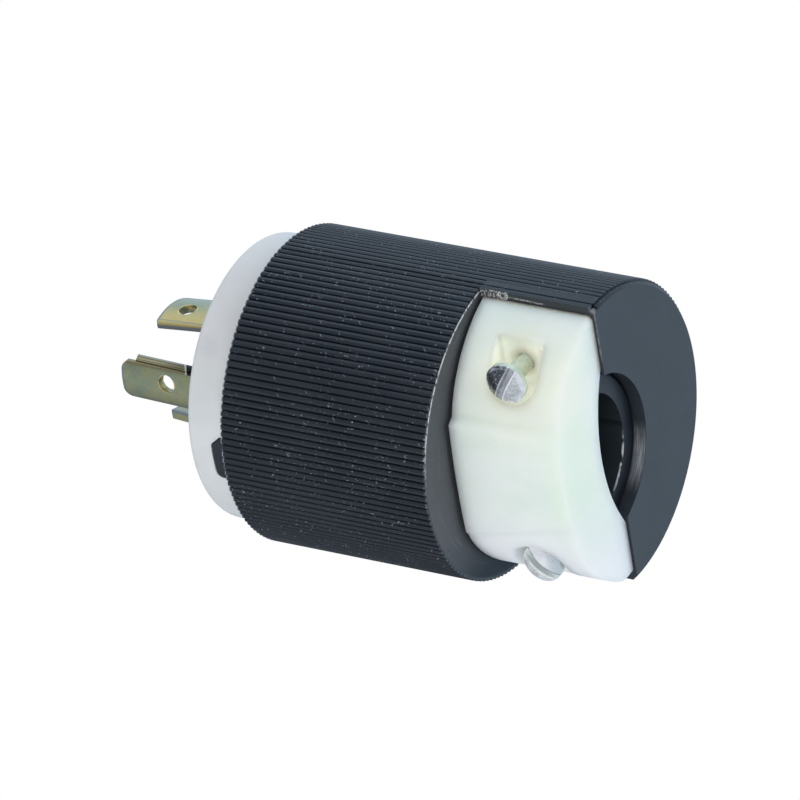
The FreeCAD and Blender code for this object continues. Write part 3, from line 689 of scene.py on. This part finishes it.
# %% Blade finish
def finish_blade(name, deg, half_deg, tip_z, hole_deg, outer_r, lean_deg, flanged=False, painted_reflection=0.0):
    """Brass for a blade that stands at deg and spans half_deg to each side, with its cross hole
    at hole_deg from its middle. across is the angle from the middle, in degrees."""
    g = Finish(name, Metallic=0.92)
    x, y, z = g.axes()
    sin, cos = math.sin(math.radians(deg)), math.cos(math.radians(deg))
    out = x * sin - y * cos
    aside = x * cos + y * sin
    across = g.arctan2(aside, out) * (180 / math.pi)
    cloud = g.noise(0.30, 4.0, 0.6)
    mottle = g.noise(1.6, 4.0, 0.6)
    base = g.mix(g.step(cloud, 0.32, 0.68), (0.27, 0.33, 0.24), (0.40, 0.40, 0.22))
    base = g.mix(g.step(mottle, 0.50, 0.75) * 0.5, base, (0.50, 0.44, 0.19))
    low = 1 - g.step(z, 49.0, 57.0)
    base = g.mix(low * (0.35 + 0.55 * g.step(across, -10.0, 12.0)), base, (0.58, 0.50, 0.17))
    # Painted reflection: the curved blade is gold on one side and greenish grey on the other, as its curve
    # catches the light.
    if painted_reflection:
        base = g.mix(g.step(across, -6.0, half_deg) * painted_reflection, base, (0.46, 0.51, 0.46))
        base = g.mix((1 - g.step(across, -half_deg, 4.0)) * painted_reflection, base, (0.66, 0.50, 0.19))

    lean = math.tan(math.radians(lean_deg))
    side = out + g.node("ShaderNodeMath", {"operation": "MAXIMUM"}, z - FACE_Z, 0.0) * lean
    inward = outer_r - (side ** 2 + aside ** 2) ** 0.5
    sheared = g.step(abs(across), half_deg - 0.8, half_deg - 0.3)
    border = g.step(abs(across), half_deg - 1.9, half_deg - 1.2) * (1 - sheared)
    grey_from, grey_full = (0.25, 0.40) if painted_reflection else (0.62, 0.80)
    border = border + sheared * g.step(inward, grey_from, grey_full)
    tip = g.step(z, tip_z - 0.32, tip_z - 0.18)
    if flanged:
        border = border * (1 - g.step(across, 0.0, 5.0))
    border = border + tip * (1 - border)
    if flanged:
        flange = 1 - g.step(side, 5.9, 6.05)
        border = border * (1 - flange)
    base = g.mix(border * 0.85, base, (0.27, 0.31, 0.35))

    hole = (((across - hole_deg) * 0.13) ** 2 + (z - HOLE_Z) ** 2) ** 0.5
    rim = g.near(hole, 1.13, 0.06, 0.18) * g.step(g.noise(0.8, 2.0), 0.40, 0.60)
    base = g.mix(rim, base, (0.85, 0.68, 0.32))
    base = g.mix(g.step(g.noise(3.2, 2.0), 0.68, 0.74) * 0.5, base, (0.14, 0.12, 0.08))
    if flanged:
        root = 1 - (1 - flange) * (1 - sheared * g.step(x, 0.0, 0.5))
        base = shaded_flange_root(g, base, z, side, root)
    g.feed(Base_Color=base, Roughness=0.34 + 0.16 * mottle + 0.08 * border,
           Normal=g.bump(g.noise(2.0, 5.0), 0.02, 0.5))
    return g.material


keep("ground_blade", finish_blade("brass_ground_blade", 6.0, 18.5, 63.85, 4.5, 7.5, 3.1, flanged=True))
keep("blade_line_a", finish_blade("brass_line_blade_a", 99.0, 27.0, 60.4, -8.0, 8.2, 5.0, painted_reflection=0.75))
keep("blade_line_b", finish_blade("brass_line_blade_b", -94.0, 27.0, 60.4, 8.0, 8.2, 5.0))


# %% [markdown]
# ## Plated steel, bright brass and the green ground screw
# Zinc plating is a cold mirror that corrosion has pitted with tiny dark and light grains. Cell noise
# gives the grains, and a broad noise lets them gather in patches.
# %% Plain metals
def finish_plated():
    """Zinc plating with pitted patches, and a yellowed side towards the middle."""
    g = Finish("screw_plated", Metallic=1.0)
    x, y, z = g.axes()
    patch = g.step(g.noise(0.45, 3.0), 0.46, 0.60)
    grain = g.step(g.cells(4.2), 0.28, 0.50)
    base = g.mix(g.noise(0.7, 3.0), (0.60, 0.61, 0.63), (0.74, 0.75, 0.76))
    base = g.mix(patch * grain * 0.75, base, (0.16, 0.16, 0.18))
    yellowed = g.step(y, -9.2, -8.4) * g.step(g.noise(0.6, 3.0), 0.40, 0.60)
    base = g.mix(yellowed * 0.55, base, (0.62, 0.60, 0.40))
    height = grain * patch + 0.4 * g.noise(3.0, 4.0)
    g.feed(Base_Color=base, Roughness=0.16 + 0.22 * patch + 0.08 * g.noise(1.5),
           Normal=g.bump(height, 0.02, 0.5))
    return g.material


def finish_metal(name, a, b, rough, metal):
    """A mottled metal between two tones."""
    g = Finish(name, Metallic=metal)
    mottle = g.noise(1.2, 4.0)
    g.feed(Base_Color=g.mix(g.step(mottle, 0.35, 0.65), a, b), Roughness=rough + 0.15 * g.noise(0.6),
           Normal=g.bump(g.noise(2.5, 4.0), 0.015, 0.5))
    return g.material


keep("brass_screw", finish_metal("brass_screw", (0.62, 0.48, 0.24), (0.74, 0.60, 0.32), 0.24, 1.0))
keep("screw_green", finish_metal("screw_green", (0.06, 0.24, 0.10), (0.10, 0.32, 0.15), 0.26, 0.35))
keep("screw_plated", finish_plated())


# %% [markdown]
# The two clamp screws are seen close up, and each half of a head mirrors another part of the room.
# So the halves on either side of the slot get their own tones as painted reflections, with thin
# painted highlight and shade lines along the slot.
# %% Heads of the clamp screws
SLOT_HALF, SLOT_EDGE = 0.30, 0.47


def mirrored_head(g, across, patch, grain, near, far):
    """The two halves of a head: each has a painted reflection tone, how metallic it is and how much it is
    pitted.
    """
    tones = []
    for tone, _, pitted in (near, far):
        dark = tuple(0.25 * c for c in tone)
        light = tuple(min(1.0, 1.5 * c + 0.15) for c in tone)
        mottled = g.mix(g.noise(1.1, 3.0), tone, light)
        tones.append(g.mix(patch * grain * pitted, mottled, dark))
    half = g.step(across, 0.15, 0.45)
    head = g.mix(half, tones[0], tones[1])
    # Painted glints on the plating.
    painted_glint = g.step(g.noise(6.0, 2.0), 0.60, 0.68)
    return g.mix(painted_glint * (0.15 + 0.55 * half), head, (0.85, 0.87, 0.88)), half


def slot_lines(g, head, across, chipped, slot_tone, lines):
    """The slot's tone, and painted highlight and shade lines along its two edges and inside it. lines are
    their tones.
    """
    head = g.mix(g.near(across, 0.0, SLOT_HALF, SLOT_HALF + 0.10), head, slot_tone)
    head = g.mix(g.near(across, SLOT_EDGE, 0.05, 0.14) * 0.85, head, lines[0])
    head = g.mix(g.near(across, -SLOT_EDGE, 0.05, 0.14) * 0.85, head, lines[1])
    return g.mix(g.near(abs(across), 0.31, 0.02, 0.09) * chipped * 0.75, head, lines[2])


print("screw slot, mm wide:", 2 * SLOT_HALF)


# %% Clamp screw finish
def finish_clamp_screw(name, centre_x, head_v, slot_deg, far, near, slot_tone, lines):
    """A clamp screw: a greenish shank and rim, and a head whose halves carry different painted reflections
    across its slot. head_v is where the head starts, and slot_deg is the slot's turn."""
    g = Finish(name)
    x, y, z = g.axes()
    turned = math.radians(slot_deg)
    across = (z - SCREW_Z) * math.cos(turned) - (x - centre_x) * math.sin(turned)
    dome = g.step(y * -1.0, head_v + 0.55, head_v + 0.80)
    grain = g.step(g.cells(5.5), 0.22, 0.48)
    patch = g.step(g.noise(0.8, 3.0), 0.38, 0.58)
    head, half = mirrored_head(g, across, patch, grain, near, far)
    out = ((x - centre_x) ** 2 + (z - SCREW_Z) ** 2) ** 0.5
    chipped = g.step(g.noise(1.3, 3.0), 0.40, 0.56)
    head = g.mix(g.step(out, 2.05, 2.25) * chipped * 0.8, head, (0.84, 0.86, 0.89))
    if centre_x < 0:
        # Painted shade at the near half's low-z end and a painted highlight across it near z 8.3.
        head = g.mix((1 - g.step(z, 5.9, 7.2)) * (1 - half) * 0.8, head, (0.46, 0.54, 0.58))
        head = g.mix(g.near(z, 8.3, 0.2, 1.0) * (1 - half) * 0.7, head, (0.93, 0.93, 0.97))
    head = slot_lines(g, head, across, chipped, slot_tone, lines)
    body = g.mix(g.step(g.noise(0.7, 3.0), 0.35, 0.65), (0.50, 0.58, 0.46), (0.66, 0.72, 0.60))
    metal = 0.35 + dome * (near[1] - 0.35 + half * (far[1] - near[1]))
    height = grain * patch + 0.4 * g.noise(3.0, 4.0)
    g.feed(Base_Color=g.mix(dome, body, head), Metallic=metal, Roughness=0.24 + 0.16 * patch,
           Normal=g.bump(height, 0.02, 0.4))
    return g.material


# A painted highlight along the slot's edges.
SLOT_HIGHLIGHT = (0.93, 0.94, 0.95)
keep("clamp_screw_right", finish_clamp_screw(
    "screw_plated_right", SCREW_X, 9.1, -28,
    far=((0.06, 0.068, 0.082), 1.0, 0.5), near=((0.55, 0.59, 0.62), 0.45, 0.5),
    slot_tone=(0.42, 0.44, 0.47), lines=(SLOT_HIGHLIGHT, SLOT_HIGHLIGHT, (0.12, 0.13, 0.15))))
keep("clamp_screw_left", finish_clamp_screw(
    "screw_plated_left", -SCREW_X, 7.8, 50,
    far=((0.74, 0.80, 0.76), 0.25, 0.5), near=((0.70, 0.71, 0.74), 0.30, 0.02),
    slot_tone=(0.66, 0.72, 0.68), lines=((0.86, 0.90, 0.88), (0.25, 0.28, 0.28), (0.60, 0.66, 0.62))))

# %% [markdown]
# ## Small corrections of form
# The real clamp's flanks are a little slimmer at the wall than the measured solid's. The solid is
# pushed in by a smooth formula on its points, so the pockets and screw holes keep their places.
# %% Slimmer flanks for the clamp
FOOT = np.array([17.96, 1.55])
CLAMP_ENDS = (0.35, 14.5)
SKIN_DEPTH, HOLD_FADE = 0.3, 2.2
FLANKS = {
    -1: {"rear": (6.9, 9.0), "wall": (8.35, 12.55), "bulge": 0.185, "shift": 0.85, "slim": (-0.33, 1.05)},
    1: {"rear": (6.9, 9.0), "wall": (8.35, 11.65), "bulge": 0.155, "shift": 0.0, "slim": (0.0, 0.55)},
}


def slimmer(points):
    """Moves the clamp's flanks inwards, mostly at the wall, and returns the moved points in mm.
    A flank bulges out of the chord from its shoulder to its foot. With t along the chord, a point
    moves in by slim * 4 t (1 - t), and the shoulder by shift, which fades along the flank and the
    crown. Deeper than 2.5 mm under the flank nothing moves, so pockets and holes stay in place."""
    u, v, z = points[:, 0], -points[:, 1], points[:, 2]
    along = np.clip((z - CLAMP_ENDS[0]) / (CLAMP_ENDS[1] - CLAMP_ENDS[0]), 0, 1)
    moved = points.copy()
    for side, form in FLANKS.items():
        spot = np.stack([side * u, v], axis=1)
        shoulder = np.outer(1 - along, form["rear"]) + np.outer(along, form["wall"])
        chord = FOOT - shoulder
        length = np.linalg.norm(chord, axis=1)
        t = np.clip(np.sum((spot - shoulder) * chord, axis=1) / length ** 2, 0, 1)
        outward = np.stack([-chord[:, 1], chord[:, 0]], axis=1) / length[:, None]
        height = np.sum((spot - shoulder) * outward, axis=1)
        arch = 4 * t * (1 - t)
        depth = np.clip((form["bulge"] * length * arch - height - SKIN_DEPTH) / HOLD_FADE, 0, 1)
        hold = (1 - depth ** 2 * (3 - 2 * depth)) * (side * u > 0)
        slim = form["slim"][0] * (1 - along) + form["slim"][1] * along
        crown = np.clip(spot[:, 0] / shoulder[:, 0], 0, 1)
        pull = form["shift"] * along * np.minimum(1 - t, crown)
        moved[:, 0] += side * hold * (-slim * arch * outward[:, 0] - pull)
        moved[:, 1] += hold * slim * arch * outward[:, 1]
    return moved


middle = (FOOT + np.array(FLANKS[-1]["wall"])) / 2
test_point = np.array([[-middle[0], -middle[1], CLAMP_ENDS[1]]])
print("middle of the left flank moves, mm:", np.round(slimmer(test_point) - test_point, 2))

# %% [markdown]
# The key stands a third of a millimetre further out of the shell's mouth than the measured one. The
# front body has a notch for it, so the same stretch serves for both and they stay in step.
# %% A longer key and its notch
KEY_REACH, NOTCH_TOP = 1.15, 45.0


def longer_key(points):
    """Stretches the key, or its notch in the front body, above the shell's mouth along z, in mm:
    z = mouth + reach (z - mouth). Points beyond the notch's top stay where they are."""
    moved = points.copy()
    above = np.clip(points[:, 2] - FRONT_Z, 0, None)
    moved[:, 2] += (KEY_REACH - 1) * above * (points[:, 2] < NOTCH_TOP)
    return moved


RESHAPED = {"cord_clamp": slimmer, "shell": longer_key, "front_body": longer_key}
print("reshaped:", sorted(RESHAPED))

# %% [markdown]
# ## Softening the moulded edges
# The measured solids have perfect edges, and light gives that away. A merged copy of each takes a
# fine bevel: a few hundredths of a millimetre on the ribs, more on the rounded clamp. The copy
# stands for its node; the node itself stays in the model for collision, hidden. Faces square to
# an axis are shaded flat, so that a bevel's smooth shading doesn't bleed over them.
# %% A clean copy of a node's mesh
MERGE_DISTANCE = 2e-6
FLAT_ANGLE_DEG = 0.5


def clean_copy(node):
    """A merged and reshaped copy of a model node's mesh, with its finish and shading."""
    mesh = frame["nodes"][node].data.copy()
    bm = bmesh.new()
    bm.from_mesh(mesh)
    bmesh.ops.remove_doubles(bm, verts=bm.verts, dist=MERGE_DISTANCE)
    bmesh.ops.dissolve_limit(bm, angle_limit=math.radians(FLAT_ANGLE_DEG), verts=bm.verts, edges=bm.edges)
    bm.to_mesh(mesh)
    bm.free()
    if node in RESHAPED:
        places = np.empty(len(mesh.vertices) * 3)
        mesh.vertices.foreach_get("co", places)
        moved = RESHAPED[node](places.reshape(-1, 3) / MM) * MM
        mesh.vertices.foreach_set("co", moved.ravel())
        mesh.update()
    mesh.materials.clear()
    mesh.materials.append(MATERIALS.get(node) or MATERIALS[SLOTS[node]])
    normals = np.empty(len(mesh.polygons) * 3)
    mesh.polygons.foreach_get("normal", normals)
    square = np.abs(normals.reshape(-1, 3)).max(axis=1) > 0.9999
    mesh.polygons.foreach_set("use_smooth", ~square)
    return mesh


SLOTS = {s["node"]: s["material_slot"] for s in frame["record"]["subparts"]}
print("nodes to dress:", len(SLOTS))

# %% Softened pieces
BEVEL_ANGLE_DEG = 28
SOFT_MM = {"shell": 0.04, "front_body": 0.10, "cord_clamp": 0.30, "ground_blade": 0.13,
           "blade_line_a": 0.13, "blade_line_b": 0.13, "clamp_screw_left": 0.07, "clamp_screw_right": 0.07}
SEGMENTS = {"cord_clamp": 3}
for node in frame["nodes"]:
    piece = bpy.data.objects.new(node + "_skin", clean_copy(node))
    scene.collection.objects.link(piece)
    bevel = piece.modifiers.new("soft", "BEVEL")
    bevel.width = SOFT_MM.get(node, 0.08) * MM
    bevel.segments = SEGMENTS.get(node, 2)
    bevel.limit_method = "ANGLE"
    bevel.angle_limit = math.radians(BEVEL_ANGLE_DEG)
    bevel.harden_normals = True
    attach(piece, "root")
    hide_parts(node)
    print(piece.name, len(piece.data.polygons), "faces")
